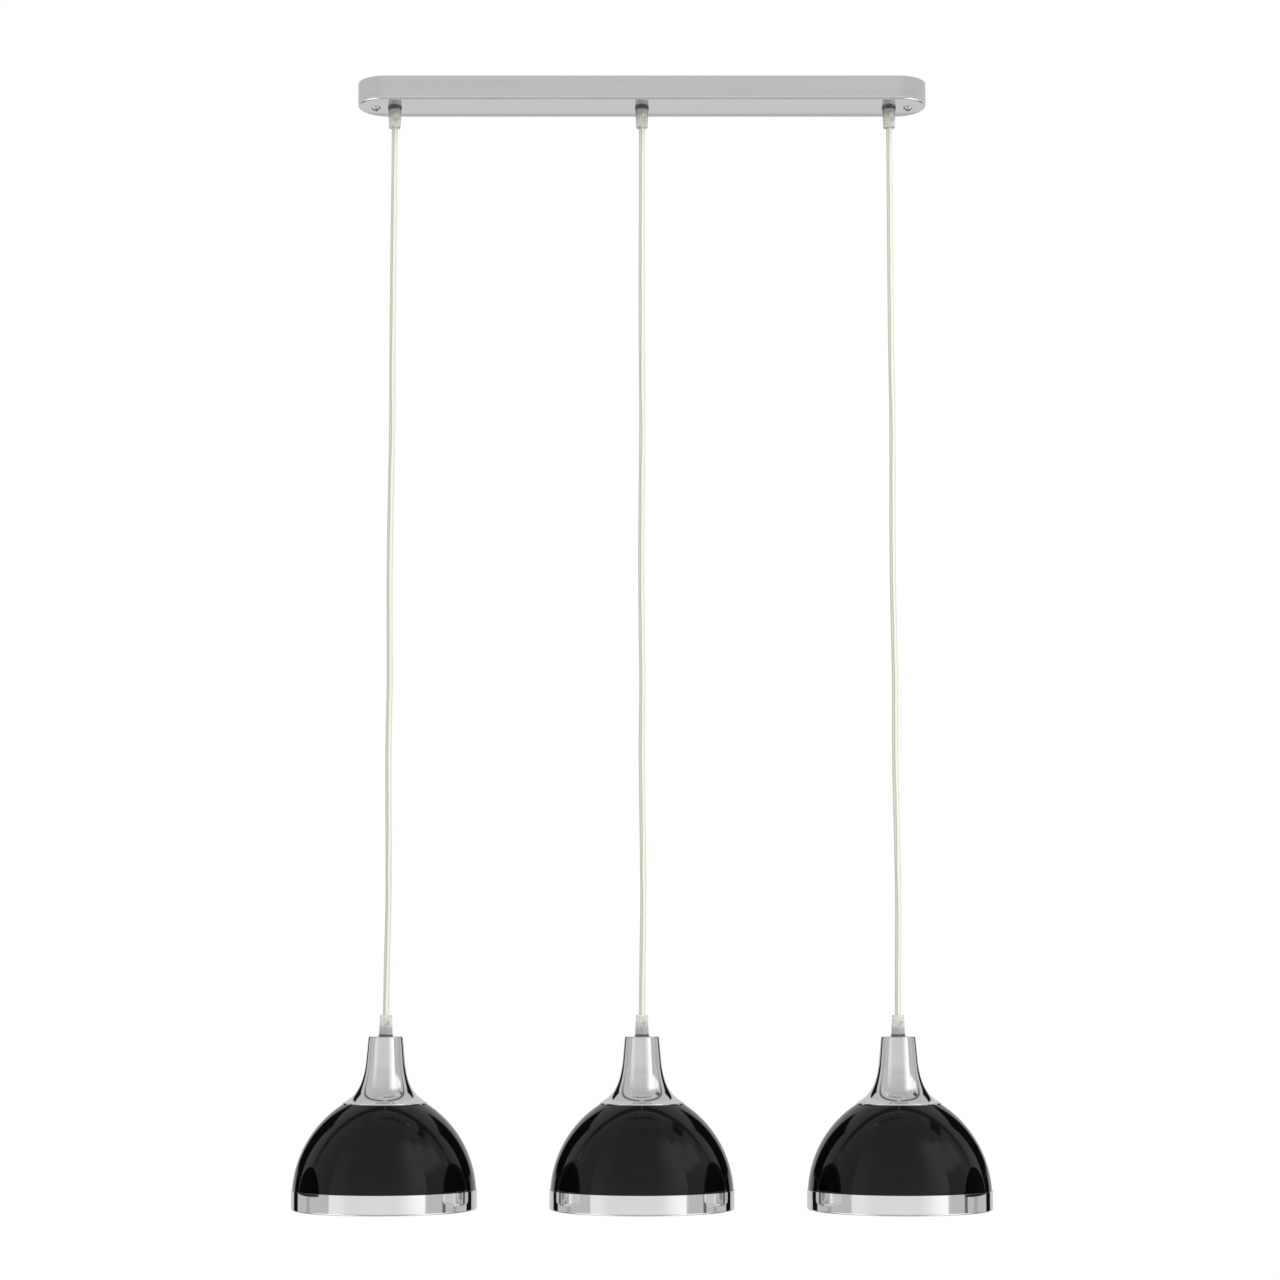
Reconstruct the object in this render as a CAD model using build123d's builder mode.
from build123d import *
from math import acos, asin, atan2, cos, hypot, pi, radians, sin, sqrt, tan
import os

# A ceiling bar with three pendants in a row, each a black dome shade on clear flex.
# Millimetres, +Z up. The ceiling is z = 0, the bar runs along X and the pendants hang below it.

# Canopy, a chrome pan that covers the ceiling strap
pendant_spacing = 209.0
canopy_screw_offset = 16.0
canopy_screw_inset = 15.0
canopy_width = 50.0
canopy_height = 20.0
canopy_wall = 1.0
canopy_edge_radius = 2.0

# Ceiling strap inside the canopy
strap_width = 24.0
strap_thickness = 1.5
strap_end = 6.0
strap_corner_radius = 4.0
slot_spacing = 300.0
slot_length = 20.0
slot_width = 5.0
window_length = 20.0
window_width = 14.0
window_gap = 15.0

# Canopy screws and the pillars on the strap that take them
screw_radius = 2.0
screw_grip = 12.0
screw_head_radius = 4.0
screw_head_height = 2.4
screw_head_side = 0.7
recess_length = 5.0
recess_width = 1.1
recess_depth = 1.4
pillar_flat_radius = 3.5

# Clear flex
cord_length = 745.0
cord_diameter = 5.0
bend_length = 24.0
core_diameter = 2.0
core_spacing = 2.5

# Clear cord grips, the same at both ends of the flex
grip_length = 17.5
grip_lip = 0.9
grip_taper = 0.65
grip_flange_step = 0.35
grip_flange_thickness = 1.6
grip_tip_rounding = 0.7
pivot_depth = 1.0
flare_depth = 2.2
swing_angle = 35.0
thread_radius = 5.0
nut_flat_radius = 7.0
nut_thickness = 3.0
stem_spare = 3.0
pinch_screw_radius = 2.0
pinch_screw_height = 11.5
pinch_screw_turn = -68.0
pinch_screw_proud = 0.3
pinch_slot_width = 0.7
pinch_slot_depth = 0.8

# Terminal block under the strap
block_x = 60.0
block_length = 20.0
block_width = 18.0
block_height = 12.5
tube_spacing = 10.0
tube_radius = 3.0
tube_bore_radius = 2.3
tube_setback = 2.0
tube_drop = 7.0
terminal_screw_radius = 1.4
terminal_screw_spacing = 10.0
peg_radius = 1.4
peg_spacing = 12.0

# Cores between the flex tails and the terminal block
core_strap_gap = 2.5
outer_lane = 15.0
right_lane = 9.0
lane_run_in = 14.0
lane_way_out = 21.0
tube_run_in = 7.0
core_reach = 8.0
core_bend_share = 0.8

# Lampholder for a small screw base
holder_cap_radius = 12.0
holder_cap_height = 19.0
holder_cap_wall = 1.7
holder_thread_depth = 10.0
holder_plug_length = 5.0
holder_plug_wall = 1.6
holder_collar_height = 3.0
holder_skirt_step = 1.5
holder_skirt_reach = 6.0
holder_floor = 4.0
socket_radius = 7.0
socket_depth = 22.0
shell_wall = 0.8
shell_setback = 2.0
shell_flange_thickness = 0.6
shell_flange_bore = 4.2
contact_radius = 3.5
contact_thickness = 0.5
rivet_radius = 1.2
post_radius = 2.0
post_height = 5.0
live_post_x = -2.0
neutral_post_x = 5.5
lead_straight = 4.0
lead_bend_radius = 4.0
flex_end_spare = 1.2

# Shade ring that clamps the dome up against the neck
ring_width = 6.3
ring_height = 8.0
ring_groove_count = 24
ring_groove_radius = 0.8

# Chrome neck
neck_taper = 3.7
neck_waist_drop = 30.0
neck_foot_radius = 34.5
neck_height = 53.6
neck_wall = 0.8
neck_edge_radius = 1.0
neck_thread_engagement = 8.2

# Black dome, whose side is one arc centred beyond the axis and just below the band's top
dome_centre_offset = 12.5
dome_centre_drop = 4.7
dome_wall = 0.8
dome_seat_margin = 1.0

# Chrome rim band
band_radius = 75.0
band_height = 16.0
band_wall = 0.6
band_lip = 3.0
band_edge_radius = 1.5

# Clearances
thread_clearance = 0.05
hole_clearance = 0.2
cord_clearance = 0.3
swing_clearance = 0.35
seat_gap = 0.05
holder_gap = 1.6
dome_hole_clearance = 0.5
core_gap = 0.1

# Derived sizes of the canopy
canopy_screw_x = pendant_spacing + canopy_screw_offset
canopy_length = 2 * (canopy_screw_x + canopy_screw_inset)
canopy_floor_z = canopy_wall - canopy_height
strap_length = 2 * (canopy_screw_x + strap_end)
window_x = block_x + block_length / 2 + window_gap + window_length / 2
pendants = {"left": -pendant_spacing, "middle": 0.0, "right": pendant_spacing}

# Derived sizes of the flex and its grips
cord_radius = cord_diameter / 2
core_radius = core_diameter / 2
grip_bore_radius = cord_radius + cord_clearance
swing = radians(swing_angle)
flare_radius = pivot_depth * tan(swing) + cord_radius / cos(swing) + swing_clearance
grip_tip_radius = flare_radius + grip_lip
grip_base_radius = grip_tip_radius + grip_taper
grip_flange_radius = grip_base_radius + grip_flange_step
top_stem = canopy_wall + nut_thickness + stem_spare
lower_stem = neck_wall + neck_thread_engagement
top_grip_end_z = -canopy_height - grip_length
swing_z = top_grip_end_z + pivot_depth
sway_z = swing_z - bend_length
tail_top_z = -canopy_height + top_stem + flex_end_spare
tube_z = -strap_thickness - tube_drop
core_z = -strap_thickness - core_strap_gap - core_radius
core_bend_radius = core_bend_share * (core_z - tail_top_z)
cord_end_z = top_grip_end_z - cord_length
neck_top_z = cord_end_z - grip_length

# Derived sizes of the neck, dome and band, from the top down
neck_top_radius = holder_cap_radius + holder_gap + neck_wall
neck_waist_radius = neck_top_radius + neck_taper
neck_waist_z = neck_top_z - neck_waist_drop
neck_foot_z = neck_top_z - neck_height
taper_angle = atan2(neck_taper, neck_waist_drop)
chord_angle = atan2(neck_foot_radius - neck_waist_radius, neck_waist_z - neck_foot_z)
foot_angle = 2 * chord_angle - taper_angle
flare_chord = hypot(neck_foot_radius - neck_waist_radius, neck_waist_z - neck_foot_z)
flare_arc_radius = flare_chord / (2 * sin(chord_angle - taper_angle))
flare_centre_radius = neck_waist_radius + flare_arc_radius * cos(taper_angle)
flare_centre_z = neck_waist_z + flare_arc_radius * sin(taper_angle)
dome_skirt_radius = band_radius - band_wall - seat_gap
dome_arc_radius = hypot(dome_skirt_radius + dome_centre_offset, dome_centre_drop)

# The dome touches the neck where their arcs meet, or at the neck's foot if that comes first
touch_reach = flare_arc_radius + neck_wall + seat_gap
centre_span = flare_centre_radius + dome_centre_offset
touch_angle = min(foot_angle, acos(centre_span / (touch_reach + dome_arc_radius)))
touch_radius = flare_centre_radius - touch_reach * cos(touch_angle)
touch_z = flare_centre_z - touch_reach * sin(touch_angle)
dome_centre_z = touch_z - sqrt(dome_arc_radius**2 - (touch_radius + dome_centre_offset) ** 2)
band_top_z = dome_centre_z + dome_centre_drop
rim_z = band_top_z - band_height
dome_skirt_z = rim_z + band_edge_radius + seat_gap

# Derived sizes of the lampholder and the shade ring
skirt_radius = holder_cap_radius + holder_skirt_step
dome_hole_radius = skirt_radius + dome_hole_clearance
ring_bore_radius = skirt_radius + hole_clearance
ring_radius = ring_bore_radius + ring_width
dome_seat_radius = ring_radius + dome_seat_margin


def dome_height(radius, wall=0.0):
    """Height of the dome's side at a radius, on its outside or a wall's thickness inside it."""
    return dome_centre_z + sqrt((dome_arc_radius - wall) ** 2 - (radius + dome_centre_offset) ** 2)


def dome_radius(height, wall=0.0):
    """Radius of the dome's side at a height, on its outside or a wall's thickness inside it."""
    return sqrt((dome_arc_radius - wall) ** 2 - (height - dome_centre_z) ** 2) - dome_centre_offset


dome_seat_z = dome_height(dome_seat_radius)
ring_top_z = dome_seat_z - dome_wall
skirt_end_z = ring_top_z - ring_height - holder_skirt_reach
cap_top_z = neck_top_z - neck_wall
cap_end_z = cap_top_z - holder_cap_height
cap_cavity_radius = holder_cap_radius - holder_cap_wall
cap_cavity_z = cap_top_z - holder_thread_depth
plug_radius = cap_cavity_radius - hole_clearance
floor_under_z = skirt_end_z + socket_depth
floor_top_z = floor_under_z + holder_floor
shell_radius = socket_radius + shell_wall
flex_end_z = cap_cavity_z - flex_end_spare
post_top_z = floor_top_z + post_height


def axial_plane(x):
    """Upright plane through a pendant's axis, with radius across and height up."""
    return Plane(origin=(x, 0, 0), x_dir=(1, 0, 0), z_dir=(0, -1, 0))


def axis_at(x):
    """Upright axis of the pendant at x."""
    return Axis((x, 0, 0), (0, 0, 1))


def save(piece, name):
    """Labels a finished piece and writes its file."""
    piece.part.label = name
    export_step(piece.part, f"parts/{name}.step")


def canopy_cover():
    """Stadium-shaped pan with holes for the grips and its two screws."""
    with BuildPart() as cover:
        with BuildSketch(Plane.XY.offset(-canopy_height)):
            SlotOverall(canopy_length, canopy_width)
        extrude(amount=canopy_height)
        fillet(cover.edges().group_by(Axis.Z)[0], canopy_edge_radius)
        with BuildSketch(Plane.XY.offset(canopy_floor_z)):
            SlotOverall(canopy_length - 2 * canopy_wall, canopy_width - 2 * canopy_wall)
        extrude(amount=canopy_height, mode=Mode.SUBTRACT)
        with BuildSketch(Plane.XY.offset(-canopy_height)):
            with Locations(*[(x, 0) for x in pendants.values()]):
                Circle(thread_radius + hole_clearance)
            with Locations((-canopy_screw_x, 0), (canopy_screw_x, 0)):
                Circle(screw_radius + hole_clearance)
        extrude(amount=canopy_wall, mode=Mode.SUBTRACT)
    save(cover, "canopy_cover")


def ceiling_strap():
    """Flat strap against the ceiling, with fixing slots, a supply window and peg holes."""
    with BuildPart() as strap:
        with BuildSketch(Plane.XY.offset(-strap_thickness)):
            RectangleRounded(strap_length, strap_width, strap_corner_radius)
            with Locations((-slot_spacing / 2, 0), (slot_spacing / 2, 0)):
                SlotOverall(slot_length, slot_width, mode=Mode.SUBTRACT)
            with Locations((window_x, 0)):
                Rectangle(window_length, window_width, mode=Mode.SUBTRACT)
            with Locations(*peg_places()):
                Circle(peg_radius + hole_clearance / 2, mode=Mode.SUBTRACT)
        extrude(amount=strap_thickness)
    save(strap, "ceiling_strap")


def strap_pillars():
    """Two hexagonal pillars that stand between the strap and the canopy's floor."""
    with BuildPart() as pillars:
        with BuildSketch(Plane.XY.offset(canopy_floor_z)):
            with Locations((-canopy_screw_x, 0), (canopy_screw_x, 0)):
                RegularPolygon(pillar_flat_radius, 6, major_radius=False)
                Circle(screw_radius + thread_clearance, mode=Mode.SUBTRACT)
        extrude(amount=-strap_thickness - canopy_floor_z)
    save(pillars, "strap_pillars")


def canopy_screws():
    """Two pan-head screws with cross recesses, up through the canopy into the pillars."""
    seat = -canopy_height
    rise = screw_head_height - screw_head_side
    crown = (screw_head_radius**2 + rise**2) / (2 * rise)
    half_turn = asin(screw_head_radius / crown) / 2
    with BuildPart() as screws:
        for x in (-canopy_screw_x, canopy_screw_x):
            with BuildSketch(axial_plane(x)):
                with BuildLine():
                    Polyline(
                        (0, seat - screw_head_height),
                        (0, seat + screw_grip),
                        (screw_radius, seat + screw_grip),
                        (screw_radius, seat),
                        (screw_head_radius, seat),
                        (screw_head_radius, seat - screw_head_side),
                    )
                    ThreePointArc(
                        (screw_head_radius, seat - screw_head_side),
                        (crown * sin(half_turn), seat - screw_head_height + crown * (1 - cos(half_turn))),
                        (0, seat - screw_head_height),
                    )
                make_face()
            revolve(axis=axis_at(x))
        with BuildSketch(Plane.XY.offset(seat - screw_head_height)):
            with Locations((-canopy_screw_x, 0), (canopy_screw_x, 0)):
                Rectangle(recess_length, recess_width)
                Rectangle(recess_width, recess_length)
        extrude(amount=recess_depth, mode=Mode.SUBTRACT)
    save(screws, "canopy_screws")


def peg_places():
    """Places of the terminal block's two pegs in the strap."""
    return [(block_x - peg_spacing / 2, 0), (block_x + peg_spacing / 2, 0)]


def tube_places():
    """Distance of each terminal tube from the middle of the block."""
    return (-tube_spacing / 2, tube_spacing / 2)


def terminal_screw_places():
    """Places of the terminal screws, two to a tube."""
    near = block_x - terminal_screw_spacing / 2
    far = block_x + terminal_screw_spacing / 2
    return [(x, y) for x in (near, far) for y in tube_places()]


def terminal_block():
    """Moulded block with a hole along X for each tube, screw holes below and pegs above."""
    under = -strap_thickness - block_height
    with BuildPart() as block:
        with BuildSketch(Plane.XY.offset(under)):
            with Locations((block_x, 0)):
                Rectangle(block_length, block_width)
        extrude(amount=block_height)
        with BuildSketch(Plane.YZ.offset(block_x - block_length / 2)):
            with Locations(*[(y, tube_z) for y in tube_places()]):
                Circle(tube_radius + thread_clearance)
        extrude(amount=block_length, mode=Mode.SUBTRACT)
        with BuildSketch(Plane.XY.offset(under)):
            with Locations(*terminal_screw_places()):
                Circle(terminal_screw_radius + hole_clearance)
        extrude(amount=tube_z - under, mode=Mode.SUBTRACT)
        with BuildSketch(Plane.XY.offset(-strap_thickness)):
            with Locations(*peg_places()):
                Circle(peg_radius)
        extrude(amount=strap_thickness - seat_gap)
    save(block, "terminal_block")


def terminal_tubes():
    """Two brass tubes in the block, with screw holes below."""
    length = block_length - 2 * tube_setback
    with BuildPart() as tubes:
        with BuildSketch(Plane.YZ.offset(block_x - length / 2)):
            with Locations(*[(y, tube_z) for y in tube_places()]):
                Circle(tube_radius)
                Circle(tube_bore_radius, mode=Mode.SUBTRACT)
        extrude(amount=length)
        with BuildSketch(Plane.XY.offset(tube_z)):
            with Locations(*terminal_screw_places()):
                Circle(terminal_screw_radius + thread_clearance)
        extrude(amount=-tube_radius, mode=Mode.SUBTRACT)
    save(tubes, "terminal_tubes")


def terminal_screws():
    """Four slotted screws that press the cores in their tubes."""
    head_z = -strap_thickness - block_height
    with BuildPart() as screws:
        with BuildSketch(Plane.XY.offset(head_z)):
            with Locations(*terminal_screw_places()):
                Circle(terminal_screw_radius)
        extrude(amount=tube_z - core_radius - core_gap - head_z)
        with BuildSketch(Plane.XY.offset(head_z)):
            with Locations(*terminal_screw_places()):
                Rectangle(2 * terminal_screw_radius, pinch_slot_width)
        extrude(amount=pinch_slot_depth, mode=Mode.SUBTRACT)
    save(screws, "terminal_screws")


def core_routes(side):
    """Routes of the three cores on one side of the middle line, from the tails to the block."""
    start_y = side * core_spacing / 2
    tube_y = side * tube_spacing / 2
    inner_y = tube_y - side * (core_radius + core_gap)
    outer_y = tube_y + side * (core_radius + core_gap)
    entry = block_x - block_length / 2
    way_out = block_x + block_length / 2
    left, middle, right = pendants.values()
    return [
        [
            (left, start_y, tail_top_z),
            (left, start_y, core_z),
            (left + lane_run_in, side * outer_lane, core_z),
            (entry - lane_way_out, side * outer_lane, core_z),
            (entry - tube_run_in, outer_y, tube_z),
            (entry + core_reach, outer_y, tube_z),
        ],
        [
            (middle, start_y, tail_top_z),
            (middle, start_y, core_z),
            (middle + lane_run_in, inner_y, core_z),
            (entry - lane_run_in, inner_y, tube_z),
            (entry + core_reach, inner_y, tube_z),
        ],
        [
            (right, start_y, tail_top_z),
            (right, start_y, core_z),
            (right - lane_run_in, side * right_lane, core_z),
            (way_out + lane_way_out, side * right_lane, core_z),
            (way_out + tube_run_in, tube_y, tube_z),
            (way_out - core_reach, tube_y, tube_z),
        ],
    ]


def insulated_cores(name, routes, bend_radius):
    """Round cores along routes of straight runs and arcs, in one piece's file."""
    length = 0.0
    with BuildPart() as cores:
        for route in routes:
            with BuildLine():
                run = FilletPolyline(*route, radius=bend_radius)
            with BuildSketch(Plane(origin=run @ 0, z_dir=run % 0)):
                Circle(core_radius)
            sweep(path=run)
            length += run.length
    expected = length * pi * core_radius**2
    print(f"{name}: bend radius {bend_radius:.2f}, volume {cores.part.volume:.1f} of {expected:.1f}")
    save(cores, name)


def top_locknuts():
    """Three thin hexagonal nuts that hold the top grips in the canopy."""
    with BuildPart() as nuts:
        with BuildSketch(Plane.XY.offset(canopy_floor_z)):
            with Locations(*[(x, 0) for x in pendants.values()]):
                RegularPolygon(nut_flat_radius, 6, major_radius=False)
                Circle(thread_radius + thread_clearance, mode=Mode.SUBTRACT)
        extrude(amount=nut_thickness)
    save(nuts, "top_locknuts")


def pinch_plane(x, seat_z, towards):
    """Plane on a grip's axis that looks out along its pinch screw."""
    turn = radians(pinch_screw_turn)
    height = seat_z + towards * pinch_screw_height
    return Plane(origin=(x, 0, height), x_dir=(0, 0, 1), z_dir=(cos(turn), sin(turn), 0))


def grip_side_radius():
    """Radius of a grip's tapered body at its pinch screw."""
    share = (pinch_screw_height - grip_flange_thickness) / (grip_length - grip_flange_thickness)
    return grip_base_radius - share * (grip_base_radius - grip_tip_radius)


def cord_grip(name, x, seat_z, towards, stem):
    """Clear grip: threaded stem, flange, tapered body and a flared mouth for the flex."""

    def at(radius, along):
        return (radius, seat_z + towards * along)

    with BuildPart() as grip:
        with BuildSketch(axial_plane(x)):
            Polygon(
                at(grip_bore_radius, -stem),
                at(thread_radius, -stem),
                at(thread_radius, 0),
                at(grip_flange_radius, 0),
                at(grip_flange_radius, grip_flange_thickness),
                at(grip_base_radius, grip_flange_thickness),
                at(grip_tip_radius, grip_length),
                at(flare_radius, grip_length),
                at(grip_bore_radius, grip_length - flare_depth),
                align=None,
            )
        revolve(axis=axis_at(x))
        mouth = grip.edges().filter_by(GeomType.CIRCLE).group_by(Axis.Z)[-1 if towards > 0 else 0]
        fillet(mouth.sort_by(SortBy.RADIUS)[-1], grip_tip_rounding)
        with BuildSketch(pinch_plane(x, seat_z, towards)):
            Circle(pinch_screw_radius + thread_clearance)
        extrude(amount=2 * grip_base_radius, mode=Mode.SUBTRACT)
    save(grip, name)


def pinch_screws(name, places, seat_z, towards):
    """Slotted pinch screws, from the flex to just proud of their grips."""
    tip = cord_radius + core_gap
    head = grip_side_radius() + pinch_screw_proud
    with BuildPart() as screws:
        for x in places:
            plane = pinch_plane(x, seat_z, towards)
            with BuildSketch(plane.offset(tip)):
                Circle(pinch_screw_radius)
            extrude(amount=head - tip)
            with BuildSketch(plane.offset(head)):
                Rectangle(pinch_slot_width, 2 * pinch_screw_radius)
            extrude(amount=-pinch_slot_depth, mode=Mode.SUBTRACT)
    save(screws, name)


def flex_length(name, x, top_z, end_z, radius=cord_radius):
    """Plain straight length of flex."""
    with BuildPart() as flex:
        with BuildSketch(axial_plane(x)):
            Polygon((0, end_z), (radius, end_z), (radius, top_z), (0, top_z), align=None)
        revolve(axis=axis_at(x))
    save(flex, name)


def pivoting_flex(name, x, pivot_z, end_z):
    """Straight length of flex whose round upper end turns about a pivot."""
    with BuildPart() as flex:
        with BuildSketch(axial_plane(x)):
            with BuildLine():
                CenterArc((0, pivot_z), cord_radius, 0, 90)
                Polyline(
                    (0, pivot_z + cord_radius),
                    (0, end_z),
                    (cord_radius, end_z),
                    (cord_radius, pivot_z),
                )
            make_face()
        revolve(axis=axis_at(x))
    straight = Circle(cord_radius).area * (pivot_z - end_z)
    print(f"{name}: straight run {pivot_z - end_z:.1f}, volume {flex.part.volume:.1f} of {straight:.1f}")
    save(flex, name)


def neck(side, x):
    """Thin flared neck: flat top, straight taper, then one arc out to its foot on the dome."""
    waist = (neck_waist_radius, neck_waist_z)
    with BuildPart() as shell:
        with BuildSketch(axial_plane(x)):
            with BuildLine():
                FilletPolyline(
                    (thread_radius + hole_clearance, neck_top_z),
                    (neck_top_radius, neck_top_z),
                    waist,
                    radius=neck_edge_radius,
                )
                TangentArc(waist, (neck_foot_radius, neck_foot_z), tangent=(neck_taper, -neck_waist_drop))
                offset(amount=neck_wall, side=Side.RIGHT, kind=Kind.INTERSECTION)
            make_face()
        revolve(axis=axis_at(x))
    save(shell, f"{side}_neck")


def dome(side, x):
    """Thin dome with a flat seat round its hole, one arc for its side and a straight skirt."""
    inner_skirt = dome_radius(band_top_z, dome_wall)
    inner_seat = dome_radius(dome_seat_z - dome_wall, dome_wall)
    middle = (dome_seat_radius + dome_skirt_radius) / 2
    with BuildPart() as shell:
        with BuildSketch(axial_plane(x)):
            with BuildLine():
                Line((dome_hole_radius, dome_seat_z), (dome_seat_radius, dome_seat_z))
                ThreePointArc(
                    (dome_seat_radius, dome_seat_z),
                    (middle, dome_height(middle)),
                    (dome_skirt_radius, band_top_z),
                )
                Polyline(
                    (dome_skirt_radius, band_top_z),
                    (dome_skirt_radius, dome_skirt_z),
                    (inner_skirt, dome_skirt_z),
                    (inner_skirt, band_top_z),
                )
                ThreePointArc(
                    (inner_skirt, band_top_z),
                    (middle, dome_height(middle, dome_wall)),
                    (inner_seat, dome_seat_z - dome_wall),
                )
                Polyline(
                    (inner_seat, dome_seat_z - dome_wall),
                    (dome_hole_radius, dome_seat_z - dome_wall),
                    (dome_hole_radius, dome_seat_z),
                )
            make_face()
        revolve(axis=axis_at(x))
    save(shell, f"{side}_dome")


def rim_band(side, x):
    """Thin band round the dome's skirt, with its lower edge turned in."""
    with BuildPart() as band:
        with BuildSketch(axial_plane(x)):
            with BuildLine():
                FilletPolyline(
                    (band_radius, band_top_z),
                    (band_radius, rim_z),
                    (band_radius - band_lip, rim_z),
                    radius=band_edge_radius,
                )
                offset(amount=band_wall, side=Side.RIGHT, kind=Kind.INTERSECTION)
            make_face()
        revolve(axis=axis_at(x))
    save(band, f"{side}_rim_band")


def lampholder_cap(side, x):
    """Cap that screws on to the lower grip's stem, hollow below."""
    bore = thread_radius + thread_clearance
    with BuildPart() as cap:
        with BuildSketch(axial_plane(x)):
            Polygon(
                (bore, cap_top_z),
                (holder_cap_radius, cap_top_z),
                (holder_cap_radius, cap_end_z),
                (cap_cavity_radius, cap_end_z),
                (cap_cavity_radius, cap_cavity_z),
                (bore, cap_cavity_z),
                align=None,
            )
        revolve(axis=axis_at(x))
    save(cap, f"{side}_lampholder_cap")


def lampholder_body(side, x):
    """Body with a plug up into the cap, a terminal chamber, a floor and a socket below it."""
    collar_end_z = cap_end_z - holder_collar_height
    plug_top_z = cap_end_z + holder_plug_length
    chamber_radius = plug_radius - holder_plug_wall
    socket_wall_radius = shell_radius + core_gap
    with BuildPart() as body:
        with BuildSketch(axial_plane(x)):
            Polygon(
                (chamber_radius, plug_top_z),
                (plug_radius, plug_top_z),
                (plug_radius, cap_end_z),
                (holder_cap_radius, cap_end_z),
                (holder_cap_radius, collar_end_z),
                (skirt_radius, collar_end_z),
                (skirt_radius, skirt_end_z),
                (socket_wall_radius, skirt_end_z),
                (socket_wall_radius, floor_under_z),
                (0, floor_under_z),
                (0, floor_top_z),
                (chamber_radius, floor_top_z),
                align=None,
            )
        revolve(axis=axis_at(x))
        with BuildSketch(Plane.XY.offset(floor_under_z)):
            with Locations((x + live_post_x, 0), (x + neutral_post_x, 0)):
                Circle(rivet_radius + thread_clearance)
        extrude(amount=holder_floor, mode=Mode.SUBTRACT)
    save(body, f"{side}_lampholder_body")


def screw_shell(side, x):
    """Brass socket shell with a flange under the holder's floor."""
    with BuildPart() as shell:
        with BuildSketch(axial_plane(x)):
            Polygon(
                (shell_flange_bore, floor_under_z),
                (shell_radius, floor_under_z),
                (shell_radius, skirt_end_z + shell_setback),
                (socket_radius, skirt_end_z + shell_setback),
                (socket_radius, floor_under_z - shell_flange_thickness),
                (shell_flange_bore, floor_under_z - shell_flange_thickness),
                align=None,
            )
        revolve(axis=axis_at(x))
    save(shell, f"{side}_screw_shell")


def lamp_contacts(side, x):
    """Centre contact with its rivet and post, and the rivet and post on the shell's flange."""
    with BuildPart() as contacts:
        with BuildSketch(Plane.XY.offset(floor_under_z)):
            with Locations((x, 0)):
                Circle(contact_radius)
        extrude(amount=-contact_thickness)
        with BuildSketch(Plane.XY.offset(floor_under_z)):
            with Locations((x + live_post_x, 0), (x + neutral_post_x, 0)):
                Circle(rivet_radius)
        extrude(amount=holder_floor)
        with BuildSketch(Plane.XY.offset(floor_top_z)):
            with Locations((x + live_post_x, 0), (x + neutral_post_x, 0)):
                Circle(post_radius)
        extrude(amount=post_height)
    save(contacts, f"{side}_lamp_contacts")


def lead_routes(x):
    """Routes of the two cores from the flex's end to the lampholder's posts."""
    half = core_spacing / 2
    return [
        [
            (x + start_x, 0, flex_end_z),
            (x + start_x, 0, flex_end_z - lead_straight),
            (x + post_x, 0, post_top_z + lead_straight),
            (x + post_x, 0, post_top_z),
        ]
        for start_x, post_x in ((-half, live_post_x), (half, neutral_post_x))
    ]


def shade_ring(side, x):
    """Grooved ring on the lampholder's skirt, up against the dome's seat."""
    with BuildPart() as ring:
        with BuildSketch(Plane.XY.offset(ring_top_z)):
            with Locations((x, 0)):
                Circle(ring_radius)
                Circle(ring_bore_radius, mode=Mode.SUBTRACT)
                with PolarLocations(ring_radius, ring_groove_count):
                    Circle(ring_groove_radius, mode=Mode.SUBTRACT)
        extrude(amount=-ring_height)
    save(ring, f"{side}_shade_ring")


os.makedirs("parts", exist_ok=True)

canopy_cover()
ceiling_strap()
strap_pillars()
canopy_screws()
terminal_block()
terminal_tubes()
terminal_screws()
insulated_cores("live_cores", core_routes(1), core_bend_radius)
insulated_cores("neutral_cores", core_routes(-1), core_bend_radius)
top_locknuts()
pinch_screws("top_grip_screws", pendants.values(), -canopy_height, -1)

for side, x in pendants.items():
    cord_grip(f"{side}_top_grip", x, -canopy_height, -1, top_stem)
    flex_length(f"{side}_flex_tail", x, tail_top_z, swing_z + cord_radius + cord_clearance)
    pivoting_flex(f"{side}_cord_bend", x, swing_z, sway_z + cord_radius + cord_clearance)
    pivoting_flex(f"{side}_cord", x, sway_z, cord_end_z)
    cord_grip(f"{side}_lower_grip", x, neck_top_z, 1, lower_stem)
    pinch_screws(f"{side}_lower_grip_screw", [x], neck_top_z, 1)
    flex_length(f"{side}_flex_end", x, cord_end_z, flex_end_z)
    neck(side, x)
    dome(side, x)
    rim_band(side, x)
    lampholder_cap(side, x)
    lampholder_body(side, x)
    screw_shell(side, x)
    lamp_contacts(side, x)
    insulated_cores(f"{side}_lamp_leads", lead_routes(x), lead_bend_radius)
    shade_ring(side, x)

print(f"rim {rim_z:.2f}, band top {band_top_z:.2f}, dome seat {dome_seat_z:.2f}, neck top {neck_top_z:.2f}")
print(f"swing pivot {swing_z:.2f}, sway pivot {sway_z:.2f}, holder end {skirt_end_z:.2f}, floor {floor_under_z:.2f}")
print(f"grip radii: tip {grip_tip_radius:.2f}, base {grip_base_radius:.2f}, flange {grip_flange_radius:.2f}")
